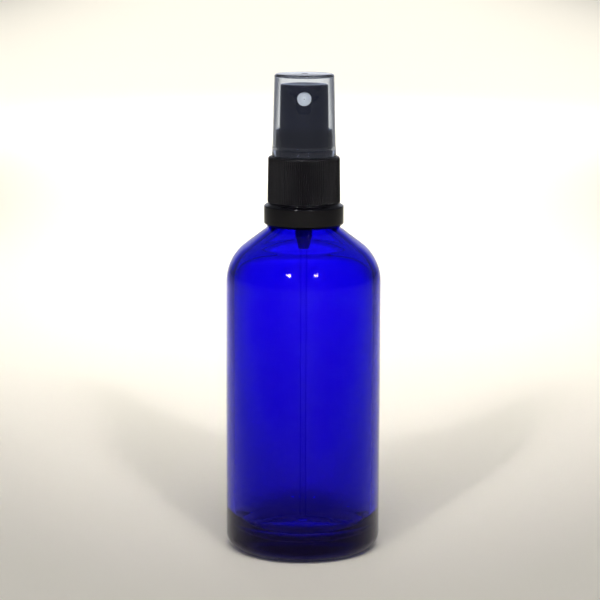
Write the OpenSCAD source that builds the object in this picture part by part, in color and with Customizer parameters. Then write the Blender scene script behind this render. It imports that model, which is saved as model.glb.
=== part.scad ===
// Fine mist atomiser: a 100 ml glass bottle with a screw-on pump sprayer, a tamper
// evident band and a clear overcap. Millimetres, +Z up, origin at the centre of the
// base. The nozzle faces -Y.

/* [Bottle] */
// Outside diameter of the glass body
body_d = 44.7; // [42:0.1:48]
// Height of the glass, base to sealing land
bottle_h = 112; // [108:0.5:116]
// Thickness of the side wall
glass_wall = 2.25; // [1.8:0.05:2.6]
// Outside radius of the heel
heel_r = 4.4; // [3:0.1:5.5]
// Radius of the shoulder's round
shoulder_r = 13.7; // [10:0.1:15]
// Slope of the shoulder cone, from upright
shoulder_angle = 53; // [45:0.1:58]
// Depth of the hollow under the base
punt_h = 2.2; // [0.8:0.1:2.6]
// Diameter of the bore in the neck
bore_d = 11.4; // [11:0.1:11.8]

/* [Neck finish] */
// Diameter over the glass thread
thread_d = 17.8; // [17.6:0.1:18]
// Thread pitch
thread_pitch = 3; // [2.8:0.1:3.1]
// Turns of thread
thread_turns = 1.5; // [1:0.25:1.5]
// Diameter of the bead that holds the tamper band
te_bead_d = 18.5; // [18.2:0.1:18.6]

/* [Closure] */
// Diameter of the ribbed skirt at its lower edge
skirt_d = 20.9; // [20.6:0.1:21.2]
// Height of the ribbed skirt
skirt_h = 13.2; // [12.8:0.1:13.4]
// Number of grip ribs
rib_count = 108; // [60:4:140]
// Depth of a rib
rib_depth = 0.18; // [0.1:0.01:0.22]
// Diameter of the collar that the overcap snaps over
collar_d = 16.2; // [16:0.05:16.3]
// Height of the collar above the skirt
collar_h = 7.9; // [7:0.1:8.5]
// Diameter of the tamper band
band_d = 23; // [22.5:0.1:23.5]
// Height of the tamper band
band_h = 6.5; // [6.4:0.1:6.8]

/* [Overcap] */
// Diameter of the overcap at its rim
cap_d = 18.5; // [18.4:0.02:18.7]
// Diameter of the overcap at its top
cap_top_d = 17.1; // [16.9:0.1:17.6]
// Height of the overcap
cap_h = 23.4; // [23:0.1:24]

/* [Spray head] */
// Diameter of the actuator at its lower edge
head_d = 14.14; // [13.8:0.02:14.2]
// Diameter of the actuator at its top
head_top_d = 13.6; // [13.2:0.1:13.8]
// Diameter of the nozzle insert
nozzle_d = 4; // [3.8:0.1:4.3]
// Travel of the actuator
stroke = 4.2; // [3.5:0.1:4.2]

/* [Pump] */
// Bore of the pump chamber
chamber_d = 6.4; // [6.2:0.1:6.4]
// Outside diameter of the dip tube
tube_d = 2.4; // [2.2:0.1:2.5]
// Diameter of the inlet ball
ball_d = 2.4; // [2.2:0.1:2.4]
// Lost motion of the piston on the valve rod, which opens the outlet
valve_gap = 0.6; // [0.4:0.1:0.6]

/* [Hidden] */
$fn = 96;

// Glass levels and radii
body_r = body_d / 2;
bore_r = bore_d / 2;
inner_r = body_r - glass_wall;
shoulder_z = 78.6;
neck_r = 8.4;
finish_r = 7.9;
neck_fillet = 1.5;
inner_fillet = 2;
land_round = 0.5;
te_bead_z = 98.8;
inner_corner_r = 7.5;
floor_z = 5;
floor_rise = 1.3;
bearing_w = 2;
glass_thread_z = 104.4;
closure_thread_z = glass_thread_z - 1.2;

// Closure levels: the band, a slit bridged by frangible pins, the skirt and the collar
band_z = 94.9;
band_top = band_z + band_h;
slit_h = 0.3;
skirt_z = band_top + slit_h;
ledge_z = skirt_z + skirt_h;
collar_top = ledge_z + collar_h;
closure_bore_r = 9.15;
bridge_count = 12;

// Pump levels, from the sealing land up and from the chamber floor down
gasket_h = 0.8;
flange_z = bottle_h + gasket_h;
flange_h = 1.2;
turret_z = flange_z + flange_h;
turret_flange_h = 1;
flange_r = 7.5;
chamber_r = chamber_d / 2;
chamber_floor = 98.6;
housing_r = 4.2;
socket_r = 2.4;
socket_z = 87.4;
tube_top = 93.4;
seat_apex = 93.7;
ball_r = ball_d / 2;
ball_z = seat_apex + ball_r * sqrt(2);
ball_lift = 0.8;
cage_r = 1.5;
cage_lip_r = 1.05;

// Moving column, with everything at rest
stem_r = 1.9;
stem_bore_r = 0.95;
stem_z = 110.4;
stem_top = 127.4;
stem_flange_r = 2.75;
stem_seat_h = 0.1;
seal_h = 0.8;
rod_head_z = 106.6;
rod_r = 0.9;
piston_bore_r = 1.3;
slide_gap = 0.03;

// Spray head
head_z = 120.9;
head_top = 135.5;
head_wall = 0.85;
hub_r = 3;
hub_z = 121.6;
nozzle_z = 131.6;
nozzle_r = nozzle_d / 2;
pocket_y = -4;
nozzle_face_y = -6.62;

// Return spring
wire_r = 0.2;
coil_r = 2.1;
coils = 7;
spring_h = rod_head_z - chamber_floor;

// Points of an arc about centre c, from angle a0 to angle a1
function arc(c, r, a0, a1, n = 8) =
    [for (i = [0 : n]) let (a = a0 + (a1 - a0) * i / n) c + r * [cos(a), sin(a)]];

// A dome that falls by rise from the axis to radius r at height z, as profile points
function dome(r, z, rise, n = 8) =
    [for (i = [0 : n]) let (x = r * i / n) [x, z + rise * (1 - pow(x / r, 2))]];

function reversed(list) = [for (i = [len(list) - 1 : -1 : 0]) list[i]];

// Centre of a round of radius f between an upright wall at radius w and the line
// through p whose outward normal stands at the shoulder's angle
function round_centre(p, w, f) =
    [w + f, p.y + (f - cos(shoulder_angle) * (w + f - p.x)) / sin(shoulder_angle)];

// Radius of a tapered wall at height z, from r0 at z0 to r1 at z1
function taper(z, z0, r0, z1, r1) = r0 + (r1 - r0) * (z - z0) / (z1 - z0);

// A solid of revolution about Z from [radius, height] points
module lathe(points) {
    rotate_extrude() polygon(points);
}

// Skin faces of rings of m points each, with both ends closed
function skin_faces(rings, m) = concat(
    [for (i = [0 : rings - 2], j = [0 : m - 1]) let (k = (j + 1) % m)
        each [[i * m + j, i * m + k, (i + 1) * m + k], [i * m + j, (i + 1) * m + k, (i + 1) * m + j]]],
    [for (j = [1 : m - 2]) [0, j + 1, j]],
    [for (j = [1 : m - 2]) let (e = (rings - 1) * m) [e, e + j, e + j + 1]]);

// A right-hand thread ridge that starts at height z0 and fades out at both ends.
// It stands from root_r to crest_r, so a smaller crest makes an inside thread.
module thread_ridge(root_r, crest_r, root_w, crest_w, z0) {
    per_turn = 24;
    fade = 30;
    sweep_angle = 360 * thread_turns;
    rings = round(per_turn * thread_turns);
    points = [for (i = [0 : rings])
        let (a = sweep_angle * i / rings,
             full = max(0.04, min(1, a / fade, (sweep_angle - a) / fade)),
             crest = root_r + (crest_r - root_r) * full,
             z = z0 + thread_pitch * a / 360,
             section = [[root_r, -root_w / 2], [crest, -crest_w / 2],
                        [crest, crest_w / 2], [root_r, root_w / 2]])
        each [for (p = section) [p.x * cos(a), p.x * sin(a), z + p.y]]];
    faces = skin_faces(rings + 1, 4);
    polyhedron(points, crest_r > root_r ? faces : [for (f = faces) reversed(f)]);
}

// Outside of the glass, from the axis under the base up to the edge of the land
function glass_outside() =
    let (sc = [body_r - shoulder_r, shoulder_z],
         p = sc + shoulder_r * [cos(shoulder_angle), sin(shoulder_angle)],
         nc = round_centre(p, neck_r, neck_fillet),
         te_r = te_bead_d / 2)
    concat(
        dome(body_r - heel_r - bearing_w, 0, punt_h),
        arc([body_r - heel_r, heel_r], heel_r, -90, 0),
        arc(sc, shoulder_r, 0, shoulder_angle, 12),
        arc(nc, neck_fillet, 180 + shoulder_angle, 180),
        [[neck_r, te_bead_z], [te_r - 0.2, te_bead_z], [te_r, te_bead_z + 0.2],
         [te_r, te_bead_z + 0.7], [finish_r, te_bead_z + 1.9]],
        arc([finish_r - land_round, bottle_h - land_round], land_round, 0, 90));

// Inside of the glass, from the edge of the bore down to the axis on the floor
function glass_inside() =
    let (sc = [body_r - shoulder_r, shoulder_z],
         p = sc + (shoulder_r - glass_wall) * [cos(shoulder_angle), sin(shoulder_angle)],
         bc = round_centre(p, bore_r, inner_fillet),
         corner = [inner_r - inner_corner_r, floor_z + inner_corner_r])
    concat(
        [[bore_r + 0.3, bottle_h], [bore_r, bottle_h - 0.3]],
        arc(bc, inner_fillet, 180, 180 + shoulder_angle),
        arc(sc, shoulder_r - glass_wall, shoulder_angle, 0, 12),
        arc(corner, inner_corner_r, 0, -90),
        reversed(dome(inner_r - inner_corner_r - 0.5, floor_z, floor_rise)));

module bottle() {
    embed = 0.35;
    color("#0a10b8") {
        lathe(concat(glass_outside(), glass_inside()));
        thread_ridge(finish_r - embed, thread_d / 2, 1.7, 0.7, glass_thread_z);
    }
}

// The band that stays on the neck. Its lip sits under the glass bead, and the pins on
// its top edge join it to the skirt until the closure is first turned.
module tamper_band() {
    r = band_d / 2;
    wall_r = 9.6;
    lip_r = 8.8;
    skirt_r = skirt_d / 2;
    bridge_w = 0.6;
    color("#121214") {
        lathe(concat(
            [[r - 0.86, band_z], [r - 0.5, band_z]],
            arc([r - 0.5, band_z + 0.5], 0.5, -90, 0, 4),
            arc([r - 0.35, band_top - 1.15], 0.35, 0, 60, 4),
            [[skirt_r + 0.05, band_top - 0.25], [skirt_r - 0.1, band_top], [wall_r, band_top],
             [wall_r, te_bead_z - 0.1], [lip_r, te_bead_z - 0.25], [lip_r, te_bead_z - 0.5],
             [wall_r, te_bead_z - 1.3], [r - 0.86, te_bead_z - 2.3]]));
        for (i = [0 : bridge_count - 1])
            rotate([0, 0, 360 * i / bridge_count])
                translate([wall_r + 0.1, -bridge_w / 2, band_top - 0.1])
                    cube([0.5, bridge_w, slit_h + 0.08]);
    }
}

// Ring of fine upright ribs round the skirt, below its plain rim
module ribbed_skirt() {
    r = skirt_d / 2;
    rim_h = 1.3;
    step = 360 / rib_count;
    inside_r = r - rib_depth - 0.4;
    difference() {
        translate([0, 0, skirt_z])
            linear_extrude(skirt_h - rim_h)
                polygon([for (i = [0 : rib_count - 1], k = [0, 1])
                    let (a = step * (i + k / 2), q = r - k * rib_depth) q * [cos(a), sin(a)]]);
        translate([0, 0, skirt_z - 1]) cylinder(r = inside_r, h = skirt_h + 2);
    }
}

module closure() {
    core_r = skirt_d / 2 - rib_depth - 0.05;
    rim_r = skirt_d / 2 - 0.06;
    rim_round = 0.8;
    collar_r = collar_d / 2;
    bead_z = ledge_z + 2.4;
    bead_r = 8.35;
    guide_r = head_d / 2 + 0.13;
    roof_z = turret_z + turret_flange_h + 0.05;
    roof_h = 1.2;
    hole_r = 5.6;
    nest_r = flange_r + 0.1;
    snap_r = flange_r - 0.2;
    thread_crest_r = 8.2;
    embed = 0.3;
    color("#141417") {
        ribbed_skirt();
        lathe(concat(
            [[core_r, skirt_z + 0.1], [core_r, ledge_z - 1.6], [rim_r, ledge_z - 1.2]],
            arc([rim_r - rim_round, ledge_z - rim_round], rim_round, 0, 90, 5),
            [[collar_r + 0.12, ledge_z], [collar_r + 0.12, bead_z - 0.5], [bead_r, bead_z - 0.15],
             [bead_r, bead_z + 0.1], [collar_r, bead_z + 0.5]],
            arc([collar_r - 0.6, collar_top - 0.6], 0.6, 0, 90, 6),
            [[guide_r, collar_top - 0.2], [guide_r, roof_z + roof_h], [hole_r, roof_z + roof_h],
             [hole_r, roof_z], [nest_r, roof_z], [nest_r, flange_z - 0.1], [snap_r, flange_z - 0.2],
             [snap_r, flange_z - 0.4], [nest_r, flange_z - 0.5], [closure_bore_r, flange_z - 0.5],
             [closure_bore_r, skirt_z + 0.4], [closure_bore_r + 0.2, skirt_z + 0.1]]));
        thread_ridge(closure_bore_r + embed, thread_crest_r, 1.5, 0.6, closure_thread_z);
    }
}

module overcap() {
    r = cap_d / 2;
    top_r = cap_top_d / 2;
    wall = 0.7;
    roof = 1.1;
    edge_r = 0.8;
    rim_z = ledge_z + 0.02;
    top = rim_z + cap_h;
    gate_r = 0.9;
    color([0.85, 0.87, 0.9, 0.4])
        lathe(concat(
            [[r - wall, rim_z], [r - 0.15, rim_z], [r, rim_z + 0.15]],
            arc([top_r - edge_r, top - edge_r], edge_r, 0, 90, 8),
            [[gate_r + 0.25, top], [gate_r, top - 0.2], [0, top - 0.2], [0, top - roof]],
            arc([top_r - wall - 0.4, top - roof - 0.4], 0.4, 90, 0, 4)));
}

// Button with a hub that grips the stem, webs, and a boss for the nozzle insert
module actuator() {
    r = head_d / 2;
    top_r = head_top_d / 2;
    edge_r = 0.5;
    dish_r = 5.7;
    dish_h = 0.6;
    crown_h = 2.1;
    socket_top = stem_top + 0.2;
    channel_r = 0.8;
    feed_r = 0.45;
    feed_z = nozzle_z - 1.3;
    post_r = 1.15;
    boss_r = 3.1;
    cavity_top = head_top - crown_h;
    inside_at_top = taper(cavity_top, head_z, r, head_top, top_r) - head_wall;
    color("#17181d") difference() {
        union() {
            lathe(concat(
                [[r - head_wall, head_z], [r - 0.1, head_z], [r, head_z + 0.1]],
                arc([top_r - edge_r, head_top - edge_r], edge_r, 0, 90, 6),
                reversed(dome(dish_r, head_top, -dish_h)),
                [[0, cavity_top], [inside_at_top, cavity_top]]));
            translate([0, 0, hub_z]) cylinder(r = hub_r, h = cavity_top - hub_z + 0.2);
            for (a = [0, 90, 180])
                rotate([0, 0, a]) translate([hub_r - 0.4, -0.4, hub_z + 4])
                    cube([r - head_wall - hub_r + 0.6, 0.8, cavity_top - hub_z - 3.8]);
            translate([0, -2, nozzle_z]) rotate([90, 0, 0]) cylinder(r = boss_r, h = 4.3);
        }
        translate([0, 0, hub_z - 1]) cylinder(r = stem_r + 0.02, h = socket_top - hub_z + 1);
        translate([0, 0, hub_z]) cylinder(r = channel_r, h = feed_z + 0.5 - hub_z);
        translate([0, 0, feed_z]) rotate([90, 0, 0]) cylinder(r = feed_r, h = 5);
        translate([0, pocket_y, nozzle_z]) rotate([90, 0, 0]) difference() {
            cylinder(r = nozzle_r, h = 5);
            translate([0, 0, -1]) cylinder(r = post_r, h = 2.9);
        }
    }
}

module nozzle_insert() {
    gap = 0.02;
    face = nozzle_face_y - pocket_y;
    depth = -face - 0.1;
    cup_r = 1.45;
    front = 0.6;
    orifice_r = 0.16;
    dimple_r = 0.6;
    color("#dfe4f2") translate([0, nozzle_face_y, nozzle_z]) rotate([-90, 0, 0])
        rotate_extrude() polygon([[orifice_r, 0.3], [dimple_r, 0], [nozzle_r - gap - 0.15, 0],
            [nozzle_r - gap, 0.15], [nozzle_r - gap, depth], [cup_r, depth], [cup_r, front],
            [0.5, front], [0.5, front - 0.15], [orifice_r, front - 0.15]]);
}

// Hollow stem. Its flange stops under the stem gasket, and its foot drives the piston.
module stem() {
    foot_r = 2.2;
    flange_z0 = stem_z + 0.5;
    flange_top = flange_z - stem_seat_h - seal_h - 0.02;
    color("#e8e8e4") lathe([[stem_bore_r, stem_z], [foot_r, stem_z], [foot_r, flange_z0],
        [stem_flange_r, flange_z0], [stem_flange_r, flange_top], [stem_r, flange_top],
        [stem_r, stem_top - 0.3], [stem_r - 0.3, stem_top], [stem_bore_r, stem_top]]);
}

// Rod that hangs in the stem's bore. Its cone is the outlet valve, its head the spring's
// upper seat, and a flat along the shank lets the liquid past.
module valve_rod() {
    head_r = 2.5;
    head_h = 0.5;
    cone_r = 1.9;
    pin_r = 1.3;
    pin_h = 2.6;
    shank_top = stem_z + 3.6;
    cone_z = rod_head_z + head_h;
    color("#f2f0e8") difference() {
        lathe([[0, rod_head_z - pin_h], [pin_r - 0.3, rod_head_z - pin_h], [pin_r, rod_head_z - pin_h + 0.3],
            [pin_r, rod_head_z], [head_r, rod_head_z], [head_r, cone_z], [cone_r, cone_z],
            [rod_r, cone_z + cone_r - rod_r], [rod_r, shank_top - 0.2], [rod_r - 0.2, shank_top],
            [0, shank_top]]);
        translate([0.5, -1, cone_z + cone_r - rod_r + 0.3]) cube([1, 2, shank_top]);
    }
}

// Soft piston with a lip each way. It rests on the rod's cone, valve_gap below the stem.
module piston() {
    lip_r = chamber_r - slide_gap;
    top = stem_z - valve_gap;
    foot = 107.75;
    color("#f7f5ee") lathe([[piston_bore_r, foot], [piston_bore_r, top], [2.2, top], [2.7, top + 0.4],
        [lip_r, top + 0.4], [3, top - 0.3], [2.75, top - 0.8], [2.75, top - 1.2], [3, foot + 0.25],
        [lip_r, foot - 0.45], [2.85, foot - 0.45], [2.55, foot]]);
}

// Height of the spring's wire after t turns: one closed coil at each end
function coil_z(t) =
    let (wire = 2 * wire_r, open = (spring_h - 3 * wire) / (coils - 2))
    wire_r + (t < 1 ? t * wire : t > coils - 1 ? wire + open * (coils - 2) + (t - coils + 1) * wire
        : wire + (t - 1) * open);

module return_spring() {
    per_turn = 20;
    sides = 8;
    seat_gap = 0.02;
    rings = coils * per_turn;
    points = [for (i = [0 : rings])
        let (t = i / per_turn, a = 360 * t, squeeze = (spring_h - 2 * seat_gap) / spring_h,
             z = chamber_floor + seat_gap + coil_z(t) * squeeze)
        each [for (j = [0 : sides - 1]) let (b = -360 * j / sides, q = coil_r + wire_r * cos(b) * 0.98)
            [q * cos(a), q * sin(a), z + wire_r * sin(b) * 0.98]]];
    faces = skin_faces(rings + 1, sides);
    color("#b9bcc2") polyhedron(points, [for (f = faces) reversed(f)]);
}

// Chamber with its flange, the ball's cage and seat, and the socket for the dip tube
module pump_housing() {
    seat_r = 0.75;
    vent_r = 0.35;
    cage_top = ball_z + ball_lift + sqrt(ball_r * ball_r - cage_lip_r * cage_lip_r);
    cone_z = 95;
    tip_r = 1.5;
    tip_h = 3.6;
    color("#e4e6ea") difference() {
        lathe([[tube_d / 2, socket_z], [tip_r, socket_z], [socket_r, socket_z + tip_h], [socket_r, cone_z],
            [housing_r, cone_z + 3], [housing_r, flange_z], [flange_r, flange_z], [flange_r, turret_z],
            [chamber_r, turret_z], [chamber_r, chamber_floor], [cage_r + 0.2, chamber_floor],
            [cage_lip_r, cage_top + 0.5], [cage_lip_r, cage_top], [cage_r, cage_top],
            [cage_r, seat_apex + cage_r], [seat_r, seat_apex + seat_r], [seat_r, tube_top + 0.1],
            [tube_d / 2, tube_top + 0.1]]);
        translate([0, 0, flange_z - 1.6]) rotate([0, 90, 0]) cylinder(r = vent_r, h = 6);
    }
}

// Plug that closes the chamber and guides the stem. The closure bears on its flange.
module pump_turret() {
    guide_r = stem_r + 0.05;
    plug_r = chamber_r - 0.01;
    tower_z = turret_z + turret_flange_h;
    color("#e9eaec") lathe([[guide_r, flange_z - stem_seat_h], [plug_r, flange_z - stem_seat_h],
        [plug_r, turret_z], [flange_r, turret_z], [flange_r, tower_z], [4.4, tower_z],
        [3.6, tower_z + 2], [guide_r, tower_z + 2]]);
}

module neck_gasket() {
    color("#d9dade") translate([0, 0, bottle_h]) difference() {
        cylinder(r = 7.1, h = gasket_h);
        translate([0, 0, -1]) cylinder(r = housing_r + 0.1, h = gasket_h + 2);
    }
}

module stem_gasket() {
    color("#3a3a3e") translate([0, 0, flange_z - stem_seat_h - seal_h]) difference() {
        cylinder(r = chamber_r - 0.05, h = seal_h);
        translate([0, 0, -1]) cylinder(r = stem_r + 0.02, h = seal_h + 2);
    }
}

module inlet_ball() {
    color("#c9ccd1") translate([0, 0, ball_z + 0.01]) sphere(r = ball_r);
}

module dip_tube() {
    tube_r = tube_d / 2;
    tip_z = floor_z + floor_rise + 1.2;
    wall = 0.45;
    cut = 30;
    color([0.93, 0.94, 0.96, 0.6]) difference() {
        translate([0, 0, tip_z]) cylinder(r = tube_r - 0.005, h = tube_top - tip_z);
        translate([0, 0, tip_z - 1]) cylinder(r = tube_r - wall, h = tube_top - tip_z + 2);
        translate([-tube_r, 0, tip_z]) rotate([0, cut, 0]) translate([-5, -5, -10]) cube([20, 10, 10]);
    }
}

bottle();
tamper_band();
closure();
overcap();
actuator();
nozzle_insert();
stem();
valve_rod();
piston();
return_spring();
pump_housing();
pump_turret();
neck_gasket();
stem_gasket();
inlet_ball();
dip_tube();
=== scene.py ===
# Looks of the fine mist bottle. Metres, +Z up, the nozzle faces -Y.
import math

import bpy
from mathutils import Matrix, Vector


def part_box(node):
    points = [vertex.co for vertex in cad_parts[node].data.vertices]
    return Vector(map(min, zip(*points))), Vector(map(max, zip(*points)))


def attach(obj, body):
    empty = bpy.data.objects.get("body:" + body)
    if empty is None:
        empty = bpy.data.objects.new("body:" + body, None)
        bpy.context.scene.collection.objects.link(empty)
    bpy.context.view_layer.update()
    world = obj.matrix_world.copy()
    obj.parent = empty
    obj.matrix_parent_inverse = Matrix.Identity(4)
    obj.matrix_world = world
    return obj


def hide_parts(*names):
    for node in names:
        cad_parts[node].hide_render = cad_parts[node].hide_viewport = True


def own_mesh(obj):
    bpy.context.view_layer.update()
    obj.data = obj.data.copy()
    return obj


MM = 0.001
SHARP_ANGLE = math.radians(35)
FACING_FRONT = Matrix.Rotation(math.radians(90), 4, "X")
FACING_BACK = Matrix.Rotation(math.radians(-90), 4, "X")

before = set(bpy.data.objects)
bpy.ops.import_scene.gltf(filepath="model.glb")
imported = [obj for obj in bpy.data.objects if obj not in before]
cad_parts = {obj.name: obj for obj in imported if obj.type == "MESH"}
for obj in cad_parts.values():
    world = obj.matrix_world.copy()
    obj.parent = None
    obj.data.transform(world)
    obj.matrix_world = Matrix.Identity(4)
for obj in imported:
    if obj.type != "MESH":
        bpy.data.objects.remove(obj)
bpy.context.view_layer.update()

# ---------------------------------------------------------------- shape helpers


def arc(centre, radius, start, end, steps):
    """Points of an arc in the plane of radius and height, angles in degrees."""
    turns = [math.radians(start + (end - start) * i / steps) for i in range(steps + 1)]
    return [(centre[0] + radius * math.cos(t), centre[1] + radius * math.sin(t)) for t in turns]


def dome(radius, height, rise, steps):
    """A shallow dome from the axis out to radius, which falls by rise on the way."""
    return [(radius * i / steps, height + rise * (1 - (i / steps) ** 2)) for i in range(steps + 1)]


def finely(points, step):
    """The same outline with no side longer than step."""
    fine = []
    for (r0, z0), (r1, z1) in zip(points, points[1:]):
        count = max(1, math.ceil(math.hypot(r1 - r0, z1 - z0) / step))
        fine += [(r0 + (r1 - r0) * i / count, z0 + (z1 - z0) * i / count) for i in range(count)]
    return fine + [points[-1]]


def smooth_step(value, low, high):
    """0 below low, 1 above high and an even rise between them."""
    share = min(1, max(0, (value - low) / (high - low)))
    return share * share * (3 - 2 * share)


def make_mesh(name, vertices, faces):
    """A smooth shaded mesh object, in metres from millimetre vertices."""
    mesh = bpy.data.meshes.new(name)
    mesh.from_pydata([Vector(v) * MM for v in vertices], [], faces)
    mesh.validate()
    mesh.shade_smooth()
    mesh.set_sharp_from_angle(angle=SHARP_ANGLE)
    piece = bpy.data.objects.new(name, mesh)
    bpy.context.scene.collection.objects.link(piece)
    return piece


def lathe(name, outline, segments, relief=None):
    """Turns a closed outline of (radius, height) points round Z. relief(angle, radius,
    height) gives how far a point moves outward and upward."""
    vertices, rings, faces = [], [], []
    for radius, height in outline:
        if radius < 1e-6:
            rings.append([len(vertices)])
            vertices.append((0, 0, height))
            continue
        rings.append(range(len(vertices), len(vertices) + segments))
        for i in range(segments):
            angle = 2 * math.pi * i / segments
            out, up = relief(angle, radius, height) if relief else (0, 0)
            moved = radius + out
            vertices.append((moved * math.cos(angle), moved * math.sin(angle), height + up))
    for low, high in zip(rings, rings[1:] + rings[:1]):
        if len(low) == 1 and len(high) == 1:
            continue
        for i in range(segments):
            j = (i + 1) % segments
            if len(low) == 1:
                faces.append((low[0], high[j], high[i]))
            elif len(high) == 1:
                faces.append((low[i], low[j], high[0]))
            else:
                faces.append((low[i], low[j], high[j], high[i]))
    return make_mesh(name, vertices, faces)


def lay_down(piece, facing, y, z):
    """Turns a lathed piece's axis along Y and moves its origin to (0, y, z) millimetres."""
    piece.data.transform(Matrix.Translation((0, y * MM, z * MM)) @ facing)


def block(name, x, y, z, turn):
    """A box between two values of x, y and z, turned about Z."""
    spin = Matrix.Rotation(turn, 3, "Z")
    corners = [spin @ Vector((a, b, c)) for c in z for b in y for a in x]
    faces = [(0, 2, 3, 1), (4, 5, 7, 6), (0, 1, 5, 4), (1, 3, 7, 5), (3, 2, 6, 7), (2, 0, 4, 6)]
    return make_mesh(name, corners, faces)


def cut(piece, cutter):
    """Subtracts the cutter from a piece and deletes it."""
    modifier = piece.modifiers.new("cut", "BOOLEAN")
    modifier.operation = "DIFFERENCE"
    modifier.solver = "EXACT"
    modifier.object = cutter
    evaluated = piece.evaluated_get(bpy.context.evaluated_depsgraph_get())
    result = bpy.data.meshes.new_from_object(evaluated)
    piece.modifiers.clear()
    piece.data = result
    bpy.data.objects.remove(cutter)


# ---------------------------------------------------------------- material helpers

# Noise scales are in features per metre
SPARK_GRAIN_SCALE = 9000.0
SCRATCH_SCALE = 2600.0
SCATTER_DEPTH = (0.002, 0.002, 0.002)
HAZE_COLOUR = (0.88, 0.92, 1, 1)


def new_material(name):
    """An empty node material, a function that adds nodes to it and one that links them."""
    material = bpy.data.materials.new(name)
    material.use_nodes = True
    tree = material.node_tree
    tree.nodes.clear()

    def add(kind, **values):
        node = tree.nodes.new(kind)
        for key, value in values.items():
            node.inputs[key].default_value = value
        return node

    return material, add, tree.links.new


def plastic(name, colour, roughness, grain, speckle=0.15, flow_scale=220, specular=0.5, subsurface=0.0):
    """Moulded plastic: fine spark-eroded grain, faint flow marks and uneven gloss.
    grain is the bump's depth in millimetres, speckle the flow marks' share of the
    colour and flow_scale their noise scale."""
    material, add, link = new_material(name)
    place = add("ShaderNodeTexCoord")
    fine = add("ShaderNodeTexNoise", Scale=SPARK_GRAIN_SCALE, Detail=3.0)
    flow = add("ShaderNodeTexNoise", Scale=float(flow_scale), Detail=4.0)
    tint = add("ShaderNodeValToRGB")
    tint.color_ramp.elements[0].color = [c * (1 - speckle) for c in colour] + [1]
    tint.color_ramp.elements[1].color = [min(1, c * (1 + speckle)) for c in colour] + [1]
    gloss = add("ShaderNodeMapRange")
    gloss.inputs["To Min"].default_value = roughness * 0.85
    gloss.inputs["To Max"].default_value = roughness * 1.2
    bump = add("ShaderNodeBump", Strength=0.35, Distance=grain * MM)
    shader = add("ShaderNodeBsdfPrincipled")
    shader.inputs["Specular IOR Level"].default_value = specular
    shader.inputs["Subsurface Weight"].default_value = subsurface
    shader.inputs["Subsurface Radius"].default_value = SCATTER_DEPTH
    output = add("ShaderNodeOutputMaterial")
    link(place.outputs["Object"], fine.inputs["Vector"])
    link(place.outputs["Object"], flow.inputs["Vector"])
    link(flow.outputs["Fac"], tint.inputs["Fac"])
    link(flow.outputs["Fac"], gloss.inputs["Value"])
    link(fine.outputs["Fac"], bump.inputs["Height"])
    link(tint.outputs["Color"], shader.inputs["Base Color"])
    link(gloss.outputs["Result"], shader.inputs["Roughness"])
    link(bump.outputs["Normal"], shader.inputs["Normal"])
    link(shader.outputs["BSDF"], output.inputs["Surface"])
    return material


def glass(name, ior, lets_through, density, wave, wave_scale, tint=(1, 1, 1), haze=0.0):
    """Clear or coloured glass with a slight waviness. lets_through is the colour that
    density, the absorption per metre, leaves; wave is the bump in millimetres, tint the
    colour of its head-on reflections and haze the share of light that it scatters."""
    material, add, link = new_material(name)
    place = add("ShaderNodeTexCoord")
    waves = add("ShaderNodeTexNoise", Scale=float(wave_scale), Detail=1.0)
    bump = add("ShaderNodeBump", Strength=1.0, Distance=wave * MM)
    shader = add("ShaderNodeBsdfPrincipled", Roughness=0.0, IOR=ior)
    shader.inputs["Base Color"].default_value = HAZE_COLOUR if haze else (1, 1, 1, 1)
    shader.inputs["Transmission Weight"].default_value = 1 - haze
    shader.inputs["Specular Tint"].default_value = tint + (1,)
    inside = add("ShaderNodeVolumeAbsorption", Density=float(density))
    inside.inputs["Color"].default_value = lets_through + (1,)
    output = add("ShaderNodeOutputMaterial")
    link(place.outputs["Object"], waves.inputs["Vector"])
    link(waves.outputs["Fac"], bump.inputs["Height"])
    link(bump.outputs["Normal"], shader.inputs["Normal"])
    link(shader.outputs["BSDF"], output.inputs["Surface"])
    link(inside.outputs["Volume"], output.inputs["Volume"])
    return material


def metal(name, colour, roughness):
    """Drawn wire or a ground ball: bright metal with fine scratches."""
    material, add, link = new_material(name)
    place = add("ShaderNodeTexCoord")
    scratches = add("ShaderNodeTexNoise", Scale=SCRATCH_SCALE, Detail=4.0)
    gloss = add("ShaderNodeMapRange")
    gloss.inputs["To Min"].default_value = roughness * 0.6
    gloss.inputs["To Max"].default_value = roughness * 1.5
    shader = add("ShaderNodeBsdfPrincipled", Metallic=1.0)
    shader.inputs["Base Color"].default_value = colour + (1,)
    output = add("ShaderNodeOutputMaterial")
    link(place.outputs["Object"], scratches.inputs["Vector"])
    link(scratches.outputs["Fac"], gloss.inputs["Value"])
    link(gloss.outputs["Result"], shader.inputs["Roughness"])
    link(shader.outputs["BSDF"], output.inputs["Surface"])
    return material


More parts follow.
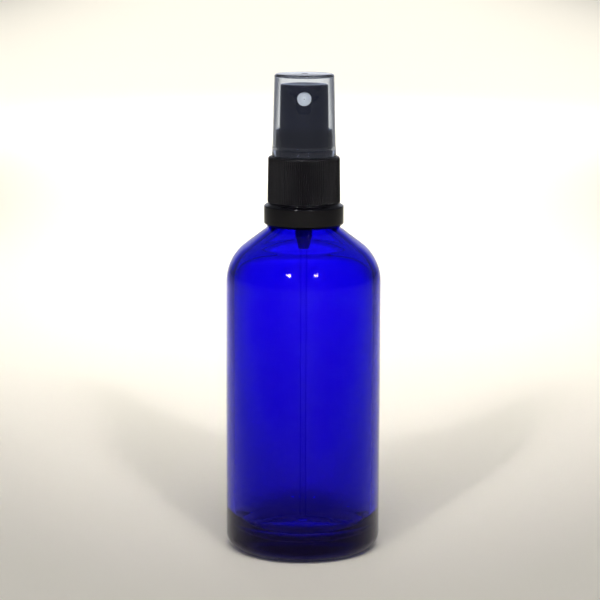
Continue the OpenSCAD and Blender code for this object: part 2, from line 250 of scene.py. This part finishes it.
COBALT = glass(
    "cobalt_glass", ior=1.52, lets_through=(0.2, 0.03, 0.943), density=1450, wave=0.05, wave_scale=70,
    tint=(0.26, 0.18, 0.8))
CLEAR = glass(
    "clear_styrene", ior=1.5, lets_through=(0.8, 0.81, 0.83), density=420, wave=0.02, wave_scale=160,
    tint=(0.6, 0.65, 0.9), haze=0.004)
TUBE = glass(
    "dip_tube_polythene", ior=1.07, lets_through=(0.8, 0.85, 0.9), density=150, wave=0.01, wave_scale=300)
BLACK = plastic(
    "black_plastic", (0.004, 0.0036, 0.005), roughness=0.42, grain=0.001, specular=0.26)
BLACK_SHINY = plastic(
    "black_plastic_polished", (0.002, 0.0018, 0.0028), roughness=0.09, grain=0.0006, specular=0.2)
# Black plastic with a painted blue cast, which stands for the bluish room light seen through the clear
# cap
BLACK_PAINTED_BLUE_CAST = plastic(
    "black_plastic_painted_blue_cast", (0.0025, 0.0028, 0.0075), roughness=0.12, grain=0.0006, specular=0.3)
WHITE = plastic(
    "white_acetal", (0.88, 0.93, 0.99), roughness=0.35, grain=0.008, speckle=0.03, subsurface=0.2)
NATURAL = plastic(
    "natural_plastic", (0.72, 0.74, 0.76), roughness=0.38, grain=0.01, speckle=0.05, subsurface=0.3)
GASKET = plastic("gasket", (0.42, 0.43, 0.44), roughness=0.7, grain=0.03, speckle=0.1)
STEEL = metal("spring_steel", (0.62, 0.63, 0.65), roughness=0.22)
FLOOR_PAINT = plastic(
    "floor_paint", (0.93, 0.885, 0.77), roughness=0.9, grain=0.01, speckle=0.004, flow_scale=3)


def finish_piece(piece, body, slot, material, *nodes):
    """Paints a piece, ties it to its body and hides the CAD nodes it stands for."""
    piece.data.materials.clear()
    piece.data.materials.append(material)
    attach(piece, body)
    if nodes:
        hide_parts(*nodes)


# ---------------------------------------------------------------- glass bottle

# Main sizes in millimetres, read from the frame where it states them
BODY_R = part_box("bottle")[1].x / MM
GLASS_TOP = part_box("bottle")[1].z / MM
WALL = 2.25
HEEL_R = 4.4
SHOULDER_R = 13.7
SHOULDER_Z = 78.6
SHOULDER_ANGLE = 53
NECK_R = 8.4
BORE_R = 5.7
FLOOR_Z = 5.0
BEAD_R = 9.25
BEAD_Z = 98.8
FINISH_R = 7.9
THREAD_R = 8.9
THREAD_PITCH = 3.0
THREAD_TURNS = 1.5
GLASS_THREAD_Z = 104.4
KNURLS = 90
KNURL_HEIGHT = 0.09
RIPPLE = 0.018
RIPPLE_PITCH = 1.9
RIPPLE_TOP = 10
SEAM = 0.03
SEAM_TURN = math.radians(-68)


def round_centre(point, wall_r, radius):
    """Centre of a round between an upright wall and the shoulder's cone through point."""
    slope = math.radians(SHOULDER_ANGLE)
    across = wall_r + radius
    return (across, point[1] + (radius - math.cos(slope) * (across - point[0])) / math.sin(slope))


def thread_relief(root_r, crest_r, start_z, width):
    """A rounded right-hand ridge as a relief on a wall of radius root_r."""

    def relief(angle, radius, height):
        if abs(radius - root_r) > 0.05:
            return 0, 0
        rise = 0
        for lap in range(math.ceil(THREAD_TURNS) + 1):
            along = angle / (2 * math.pi) + lap
            if along > THREAD_TURNS:
                continue
            fade = smooth_step(min(along, THREAD_TURNS - along), 0, 0.08)
            away = abs(height - start_z - THREAD_PITCH * along) / (width / 2)
            rise = max(rise, fade * (1 - smooth_step(away, 0.35, 1)))
        return (crest_r - root_r) * rise, 0

    return relief


def glass_relief(angle, radius, height):
    """The neck thread, the mould seams, the ripples that blowing leaves inside the
    foot, and the fine knurls of the ring that the bottle stands on."""
    stand_r = BODY_R - HEEL_R - 1.0
    inner_r = BODY_R - WALL
    if height < 0.3 and abs(radius - stand_r) < 1.6:
        band = 1 - smooth_step(abs(radius - stand_r), 0.9, 1.5)
        return 0, KNURL_HEIGHT * band * (0.5 - 0.5 * math.cos(KNURLS * angle))
    if 1 < radius < inner_r + 0.01 and FLOOR_Z - 0.1 < height < RIPPLE_TOP:
        fade = smooth_step(radius, 1, 4) * (1 - smooth_step(height, FLOOR_Z + 1.5, RIPPLE_TOP))
        phase = 2 * math.pi * radius / RIPPLE_PITCH + 0.5 * math.sin(3 * angle)
        return 0, RIPPLE * fade * math.sin(phase)
    if radius > BORE_R + 0.5 and height > BEAD_Z:
        return thread_relief(FINISH_R, THREAD_R, GLASS_THREAD_Z, width=1.9)(angle, radius, height)
    if radius > inner_r + 0.1 and HEEL_R <= height:
        from_seam = abs(math.sin(angle - SEAM_TURN)) * radius
        return SEAM * (1 - smooth_step(from_seam, 0.1, 0.7)), 0
    return 0, 0


def build_bottle():
    """The glass: base, body, shoulder and threaded neck in one wall."""
    centre = (BODY_R - SHOULDER_R, SHOULDER_Z)
    outer_shoulder = arc(centre, SHOULDER_R, 0, SHOULDER_ANGLE, 28)
    inner_shoulder = arc(centre, SHOULDER_R - WALL, SHOULDER_ANGLE, 0, 24)
    inner_r = BODY_R - WALL
    inner_corner = 7.5
    push_up = 2.2
    floor_rise = 1.3
    lip = 0.5
    stand_in = BODY_R - HEEL_R - 2
    outside = dome(stand_in, 0, push_up, 14)
    outside += [(stand_in + 0.5, 0), (stand_in + 1, 0), (stand_in + 1.5, 0)]
    outside += arc((BODY_R - HEEL_R, HEEL_R), HEEL_R, -90, 0, 20)
    outside += outer_shoulder
    outside += arc(round_centre(outer_shoulder[-1], NECK_R, 1.5), 1.5, 180 + SHOULDER_ANGLE, 180, 10)
    outside += [(NECK_R, BEAD_Z - 0.2)]
    outside += arc((BEAD_R - 0.25, BEAD_Z + 0.25), 0.25, -90, 0, 4)
    outside += arc((BEAD_R - 0.25, BEAD_Z + 0.6), 0.25, 0, 50, 4)
    thread_zone = [(FINISH_R, BEAD_Z + 1.9), (FINISH_R, GLASS_TOP - lip)]
    outside += finely(thread_zone, 0.2)[:-1]
    outside += arc((FINISH_R - lip, GLASS_TOP - lip), lip, 0, 90, 8)
    inside = arc((BORE_R + 0.3, GLASS_TOP - 0.3), 0.3, 90, 180, 5)
    inside += arc(round_centre(inner_shoulder[0], BORE_R, 2), 2, 180, 180 + SHOULDER_ANGLE, 10)
    inside += inner_shoulder
    foot = arc((inner_r - inner_corner, FLOOR_Z + inner_corner), inner_corner, 0, -90, 20)
    foot += reversed(dome(inner_r - inner_corner - 0.5, FLOOR_Z, floor_rise, 18))
    inside += finely(foot, 0.45)
    bottle = lathe("bottle_glass", outside + inside, segments=360, relief=glass_relief)
    finish_piece(bottle, "glass", "cobalt_glass", COBALT, "bottle")


# ---------------------------------------------------------------- tamper band

SKIRT_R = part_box("closure")[1].x / MM
CLOSURE_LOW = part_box("closure")[0].z / MM
CLOSURE_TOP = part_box("closure")[1].z / MM
BAND_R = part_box("tamper_band")[1].x / MM
BAND_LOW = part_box("tamper_band")[0].z / MM
SLIT = 0.12
BAND_TOP = CLOSURE_LOW - SLIT
PINS = 12


def build_tamper_band():
    """The band on the neck and the short pins left where it has broken from the skirt."""
    wall_r = 9.6
    lip_r = 8.8
    chamfer = 0.75
    flare_r = BAND_R - 0.86
    outline = [(flare_r, BAND_LOW)]
    outline += arc((BAND_R - chamfer - 0.1, BAND_LOW + 0.2), 0.2, -90, -45, 3)
    outline += arc((BAND_R - 0.25, BAND_LOW + chamfer + 0.1), 0.25, -45, 0, 4)
    outline += arc((BAND_R - 0.45, BAND_TOP - 1.2), 0.45, 0, 62, 8)
    outline += arc((SKIRT_R + 0.12, BAND_TOP - 0.12), 0.2, -118, -180, 4)
    outline += [(SKIRT_R - 0.1, BAND_TOP), (wall_r, BAND_TOP), (wall_r, BEAD_Z - 0.1)]
    outline += [(lip_r, BEAD_Z - 0.25), (lip_r, BEAD_Z - 0.5), (wall_r, BEAD_Z - 1.3)]
    outline += [(flare_r, BEAD_Z - 2.3)]
    band = lathe("tamper_band_ring", outline, segments=240)
    finish_piece(band, "band", "black_plastic", BLACK_SHINY, "tamper_band")
    for i in range(PINS):
        pin = block(f"frangible_pin_{i + 1:02d}", (wall_r + 0.1, wall_r + 0.6), (-0.3, 0.3),
                    (BAND_TOP - 0.1, CLOSURE_LOW + 0.04), turn=2 * math.pi * i / PINS)
        finish_piece(pin, "band", "black_plastic", BLACK_SHINY)


# ---------------------------------------------------------------- screw closure

CAP_CLEARANCE = 0.02
LEDGE_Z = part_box("overcap")[0].z / MM - CAP_CLEARANCE
COLLAR_R = 8.1
RIBS = 108
RIB_DEPTH = 0.28
CLOSURE_BORE_R = 9.15


def skirt_relief(angle, radius, height):
    """Rounded grip ribs that run out just under the rim."""
    if radius < SKIRT_R - 0.6:
        return 0, 0
    run_out = smooth_step(height, CLOSURE_LOW + 0.05, CLOSURE_LOW + 0.35)
    run_out *= 1 - smooth_step(height, LEDGE_Z - 1.1, LEDGE_Z - 0.3)
    groove = 0.5 - 0.5 * math.cos(RIBS * angle)
    return -RIB_DEPTH * run_out * groove ** 1.2, 0


def build_skirt():
    """The ribbed outside of the screw closure, up to its ledge."""
    draft = 0.16
    edge = 0.85
    top_r = SKIRT_R - draft
    inner_r = SKIRT_R - 0.9
    skirt = [(inner_r, CLOSURE_LOW + 0.02)]
    foot = [(SKIRT_R - 0.08, CLOSURE_LOW), (SKIRT_R, CLOSURE_LOW + 0.1), (SKIRT_R, CLOSURE_LOW + 0.4)]
    skirt += finely(foot, 0.1)
    skirt += [(SKIRT_R - draft * 0.5, CLOSURE_LOW + 6.6)]
    skirt += finely([(top_r, LEDGE_Z - 1.9), (top_r, LEDGE_Z - 1.2)], 0.12)
    skirt += arc((top_r - edge, LEDGE_Z - edge), edge, 0, 90, 10)
    skirt += [(inner_r, LEDGE_Z - 0.1)]
    ribs = lathe("closure_skirt", skirt, segments=RIBS * 10, relief=skirt_relief)
    finish_piece(ribs, "screw_closure", "black_plastic", BLACK)


def build_core():
    """The rest of the closure: its ledge, its collar and the inside thread."""
    outer_r = SKIRT_R - 0.8
    bead_z = LEDGE_Z + 2.4
    guide_r = 7.2
    roof_z = GLASS_TOP + 3.05
    roof_top = roof_z + 1.2
    opening_r = 5.6
    nest_r = 7.6
    core = [(outer_r, CLOSURE_LOW + 0.1), (outer_r, LEDGE_Z - 0.02)]
    core += arc((COLLAR_R + 0.3, LEDGE_Z + 0.18), 0.2, -90, -180, 3)
    core += [(COLLAR_R + 0.1, bead_z - 0.6)]
    core += arc((COLLAR_R, bead_z), 0.25, -60, 60, 8)
    core += arc((COLLAR_R - 0.7, CLOSURE_TOP - 0.7), 0.7, 0, 90, 12)
    core += arc((guide_r + 0.12, CLOSURE_TOP - 0.12), 0.12, 90, 180, 4)
    core += [(guide_r, roof_top), (opening_r, roof_top), (opening_r, roof_z), (nest_r, roof_z)]
    core += [(nest_r, GLASS_TOP + 0.3), (CLOSURE_BORE_R, GLASS_TOP + 0.3)]
    core += finely([(CLOSURE_BORE_R, GLASS_TOP - 1.5), (CLOSURE_BORE_R, CLOSURE_LOW + 0.4)], 0.18)
    core += [(CLOSURE_BORE_R + 0.2, CLOSURE_LOW + 0.1)]
    inside_thread = thread_relief(CLOSURE_BORE_R, 8.25, GLASS_THREAD_Z - 1.2, width=1.7)
    body = lathe("closure_core", core, segments=240, relief=inside_thread)
    finish_piece(body, "screw_closure", "black_plastic", BLACK_SHINY, "closure")


# ---------------------------------------------------------------- clear overcap

CAP_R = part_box("overcap")[1].x / MM
CAP_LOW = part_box("overcap")[0].z / MM
CAP_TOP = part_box("overcap")[1].z / MM


def build_overcap():
    """The clear cap: a thin cup with a flared foot and a gate mark on its roof."""
    top_r = 8.55
    wall = 0.7
    roof = 0.8
    edge = 0.8
    flare = 0.12
    shoulder_r = CAP_R - 0.22
    outside = [(CAP_R - wall + 0.06, CAP_LOW), (CAP_R - 0.18, CAP_LOW)]
    outside += arc((CAP_R - 0.15, CAP_LOW + 0.15), 0.15, -60, 0, 4)
    outside += [(CAP_R - 0.02, CAP_LOW + 1.7)]
    outside += arc((shoulder_r - 0.1, CAP_LOW + 2.5), 0.25, 30, 5, 4)
    outside += arc((top_r - edge, CAP_TOP - edge), edge, 0, 90, 16)
    outside += [(top_r - edge - 0.35, CAP_TOP - 0.02)]
    outside += arc((1.15, CAP_TOP - 0.27), 0.25, 70, 150, 5)
    outside += [(0.55, CAP_TOP - 0.35), (0, CAP_TOP - 0.3)]
    inside = dome(top_r - wall - 0.4, CAP_TOP - roof, -0.3, 12)
    inside += arc((top_r - wall - 0.2, CAP_TOP - roof - 0.2), 0.2, 80, 0, 8)
    inside += [(shoulder_r - wall + flare * 0.2, CAP_LOW + 3.0)]
    inside += arc((CAP_R - wall - 0.02, CAP_LOW + 2.0), 0.12, 150, 210, 4)
    inside += [(CAP_R - wall, CAP_LOW + 1.5), (CAP_R - wall, CAP_LOW + 0.1)]
    cap = lathe("overcap_shell", outside + inside, segments=240)
    finish_piece(cap, "cap", "clear_plastic", CLEAR, "overcap")
    # Its thin clear wall lets the lamps' light straight through to the head
    cap.visible_shadow = False


# ---------------------------------------------------------------- spray head

NOZZLE_LOW, NOZZLE_HIGH = [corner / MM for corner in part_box("nozzle_insert")]
NOZZLE_Z = (NOZZLE_LOW.z + NOZZLE_HIGH.z) / 2
NOZZLE_R = (NOZZLE_HIGH.z - NOZZLE_LOW.z) / 2
HEAD_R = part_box("actuator")[1].x / MM
HEAD_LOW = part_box("actuator")[0].z / MM
HEAD_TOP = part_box("actuator")[1].z / MM
HEAD_WALL = 0.85
CROWN_Z = HEAD_TOP - 2.1
POCKET_Y = -4.0


def build_button():
    """The button's thin shell, with a finger dish and a round pocket for the nozzle."""
    top_r = 6.8
    edge = 0.55
    dish_r = 5.75
    outline = [(HEAD_R - HEAD_WALL, HEAD_LOW), (HEAD_R - 0.12, HEAD_LOW)]
    outline += arc((HEAD_R - 0.15, HEAD_LOW + 0.15), 0.15, -60, 0, 4)
    side_top = (top_r, HEAD_TOP - edge)
    outline += finely([(HEAD_R, HEAD_LOW + 0.2), side_top], 0.5)[:-1]
    outline += arc((top_r - edge, HEAD_TOP - edge), edge, 0, 80, 10)
    outline += reversed(dome(dish_r, HEAD_TOP, -0.6, 14))
    outline += [(0, CROWN_Z), (top_r - HEAD_WALL, CROWN_Z)]
    shell = lathe("actuator_shell", outline, segments=144)
    pocket_r = NOZZLE_R + 0.02
    pocket = lathe("pocket_cutter", [(0, 0), (pocket_r, 0), (pocket_r, 4), (0, 4)], segments=96)
    lay_down(pocket, FACING_FRONT, POCKET_Y, NOZZLE_Z)
    cut(shell, pocket)
    finish_piece(shell, "head", "black_plastic", BLACK_PAINTED_BLUE_CAST, "actuator")


def build_button_inside():
    """Under the button: the stem's hub, the nozzle's boss and three webs."""
    hub_r = 3.0
    hub_low = HEAD_LOW + 0.7
    hub_bore = 1.93
    hub_top = CROWN_Z + 0.3
    hub = lathe("actuator_hub", [(hub_bore, hub_low), (hub_r - 0.1, hub_low), (hub_r, hub_low + 0.1),
                                 (hub_r, hub_top), (hub_bore, hub_top)], segments=72)
    finish_piece(hub, "head", "black_plastic", BLACK_PAINTED_BLUE_CAST)

    boss_r = 3.1
    boss_bore = NOZZLE_R + 0.05
    boss_length = 3.9
    boss = lathe("nozzle_boss", [(boss_bore, 0), (boss_r, 0), (boss_r, boss_length),
                                 (boss_bore, boss_length)], segments=72)
    lay_down(boss, FACING_FRONT, -2.2, NOZZLE_Z)
    finish_piece(boss, "head", "black_plastic", BLACK_PAINTED_BLUE_CAST)

    for side, turn in (("right", 0), ("back", 90), ("left", 180)):
        web = block(f"web_{side}", (hub_r - 0.2, HEAD_R - HEAD_WALL + 0.1), (-0.4, 0.4),
                    (hub_low + 4, CROWN_Z + 0.2), turn=math.radians(turn))
        finish_piece(web, "head", "black_plastic", BLACK_PAINTED_BLUE_CAST)


def build_nozzle():
    """The white insert: a disc with a soft edge, a ring step and the orifice's dimple."""
    face = NOZZLE_LOW.y
    back = NOZZLE_HIGH.y - face
    rim_r = 1.45
    outline = [(0.16, 0.3), (0.2, 0.16), (0.55, 0.05), (0.7, 0.03)]
    outline += arc((NOZZLE_R - 0.17, 0.17), 0.15, -90, 0, 6)
    outline += [(NOZZLE_R - 0.02, back), (rim_r, back), (rim_r, 0.6)]
    outline += [(0.5, 0.6), (0.5, 0.45), (0.16, 0.45)]
    insert = lathe("nozzle_cup", outline, segments=96)
    lay_down(insert, FACING_BACK, face, NOZZLE_Z)
    finish_piece(insert, "head", "white_plastic", WHITE, "nozzle_insert")


# ---------------------------------------------------------------- return spring

SPRING_LOW, SPRING_HIGH = [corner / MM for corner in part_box("return_spring")]
WIRE_R = 0.2
COILS = 7


def coil_height(turns):
    """Height of the wire's middle after some turns: one closed coil at each end."""
    closed = 2 * WIRE_R
    pitch = (SPRING_HIGH.z - SPRING_LOW.z - 3 * closed) / (COILS - 2)
    middle = min(max(turns - 1, 0), COILS - 2)
    ends = min(turns, 1) + max(turns - COILS + 1, 0)
    return SPRING_LOW.z + WIRE_R + closed * ends + pitch * middle


def build_spring():
    """A round wire wound into a helix."""
    per_turn = 48
    sides = 12
    coil_r = SPRING_HIGH.x - WIRE_R
    last = COILS * per_turn
    vertices, faces = [], []
    for i in range(last + 1):
        turn = 2 * math.pi * i / per_turn
        for j in range(sides):
            around = 2 * math.pi * j / sides
            radius = coil_r + WIRE_R * math.cos(around)
            height = coil_height(i / per_turn) + WIRE_R * math.sin(around)
            vertices.append((radius * math.cos(turn), radius * math.sin(turn), height))
    for i in range(last):
        for j in range(sides):
            k = (j + 1) % sides
            faces.append((i * sides + k, i * sides + j, (i + 1) * sides + j, (i + 1) * sides + k))
    faces.append(tuple(range(sides)))
    faces.append(tuple(last * sides + j for j in reversed(range(sides))))
    spring = make_mesh("spring_wire", vertices, faces)
    finish_piece(spring, "pump", "spring_steel", STEEL, "return_spring")
    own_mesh(spring)


# ---------------------------------------------------------------- studio

# Brightness of the room and of the glow behind the bottle, and the glow's reach: the
# Y part of the direction at its edge and at its core
ROOM_LIGHT = 0.17
GLOW_LIGHT = 0.8
GLOW_EDGE = 0.79
GLOW_CORE = 0.92
WARM_WHITE = (1, 0.98, 0.94)
SKY_COLOUR = (0.93, 0.97, 1.1, 1)


def build_floor():
    """A wide plain floor under the bottle."""
    half = 9000
    corners = [(-half, -half, 0), (half, -half, 0), (half, half, 0), (-half, half, 0)]
    floor = make_mesh("floor", corners, [(0, 1, 2, 3)])
    floor.data.materials.append(FLOOR_PAINT)


def add_light(name, azimuth, elevation, distance, size, power, aim, spread=180, colour=(1, 1, 1)):
    """A rectangular soft light that faces aim from distance away. Azimuth 0 is the
    camera's side and 90 is to its right; angles in degrees, lengths in metres."""
    light = bpy.data.lights.new(name, "AREA")
    light.shape = "RECTANGLE"
    light.size, light.size_y = size
    light.energy = power
    light.spread = math.radians(spread)
    light.color = colour
    lamp = bpy.data.objects.new(name, light)
    a, e = math.radians(azimuth), math.radians(elevation)
    away = Vector((math.sin(a) * math.cos(e), -math.cos(a) * math.cos(e), math.sin(e)))
    lamp.location = Vector(aim) + away * distance
    lamp.rotation_mode = "QUATERNION"
    lamp.rotation_quaternion = away.to_track_quat("Z", "Y")
    bpy.context.scene.collection.objects.link(lamp)
    return lamp


def build_world():
    """A dim room with a soft glow behind the bottle, towards +Y."""
    world = bpy.data.worlds.new("studio")
    world.use_nodes = True
    nodes, link = world.node_tree.nodes, world.node_tree.links.new
    view = nodes.new("ShaderNodeTexCoord")
    parts = nodes.new("ShaderNodeSeparateXYZ")
    glow = nodes.new("ShaderNodeMapRange")
    glow.interpolation_type = "SMOOTHSTEP"
    glow.inputs["From Min"].default_value = GLOW_EDGE
    glow.inputs["From Max"].default_value = GLOW_CORE
    glow.inputs["To Min"].default_value = ROOM_LIGHT
    glow.inputs["To Max"].default_value = GLOW_LIGHT
    link(view.outputs["Generated"], parts.inputs["Vector"])
    link(parts.outputs["Y"], glow.inputs["Value"])
    link(glow.outputs["Result"], nodes["Background"].inputs["Strength"])
    nodes["Background"].inputs["Color"].default_value = SKY_COLOUR
    bpy.context.scene.world = world


def build_studio():
    """Two small lamps for the glints, two overhead lights for the floor behind the
    bottle and a broad one from the front."""
    build_floor()
    build_world()
    bpy.context.scene.view_settings.view_transform = "Standard"
    for side, azimuth in (("left", -24), ("right", 20)):
        add_light(f"lamp_{side}", azimuth, elevation=31, distance=0.9, size=(0.09, 0.09), power=0.024,
                  aim=(0, 0, 0.095), spread=12)
    add_light("near_light", 180, elevation=90, distance=0.85, size=(0.3, 1.2), power=2.2,
              aim=(0, 0.85, 0), spread=44, colour=WARM_WHITE)
    add_light("far_light", 180, elevation=90, distance=0.95, size=(1.4, 3.8), power=17,
              aim=(0, 3.0, 0), spread=60, colour=WARM_WHITE)
    fill = add_light("fill_light", 0, elevation=50, distance=1.5, size=(1.4, 1.4), power=15,
                     aim=(0, 0, 0.09), colour=WARM_WHITE)
    # The fill only softens shadows, so it makes no highlight of its own
    fill.visible_glossy = False
    fill.visible_transmission = False


def build_camera():
    """Looks slightly down on the bottle from in front."""
    distance = 0.633
    pitch = math.radians(9.83)
    roll = math.radians(0.23)
    aim_height = 0.073
    camera_data = bpy.data.cameras.new("camera")
    camera_data.sensor_width = 36
    camera_data.lens = 133.3
    camera_data.shift_x = -0.0058
    camera_data.clip_start = 0.01
    camera_data.clip_end = 50
    camera = bpy.data.objects.new("camera", camera_data)
    place = Matrix.Translation((0, -distance, aim_height + distance * math.tan(pitch)))
    look = Matrix.Rotation(math.radians(90) - pitch, 4, "X") @ Matrix.Rotation(roll, 4, "Z")
    camera.matrix_world = place @ look
    bpy.context.scene.collection.objects.link(camera)
    bpy.context.scene.camera = camera


# ---------------------------------------------------------------- the scene

# CAD nodes that keep their own shape
CARRIED = {
    "stem": WHITE,
    "valve_rod": NATURAL,
    "piston": NATURAL,
    "pump_housing": NATURAL,
    "pump_turret": NATURAL,
    "neck_gasket": GASKET,
    "stem_gasket": GASKET,
    "inlet_ball": STEEL,
    "dip_tube": TUBE,
}


def paint_carried_nodes():
    """Gives the CAD nodes that stay their materials."""
    for node, material in CARRIED.items():
        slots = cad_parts[node].data.materials
        slots.clear()
        slots.append(material)


build_bottle()
build_tamper_band()
build_skirt()
build_core()
build_overcap()
build_button()
build_button_inside()
build_nozzle()
build_spring()
paint_carried_nodes()
build_studio()
build_camera()
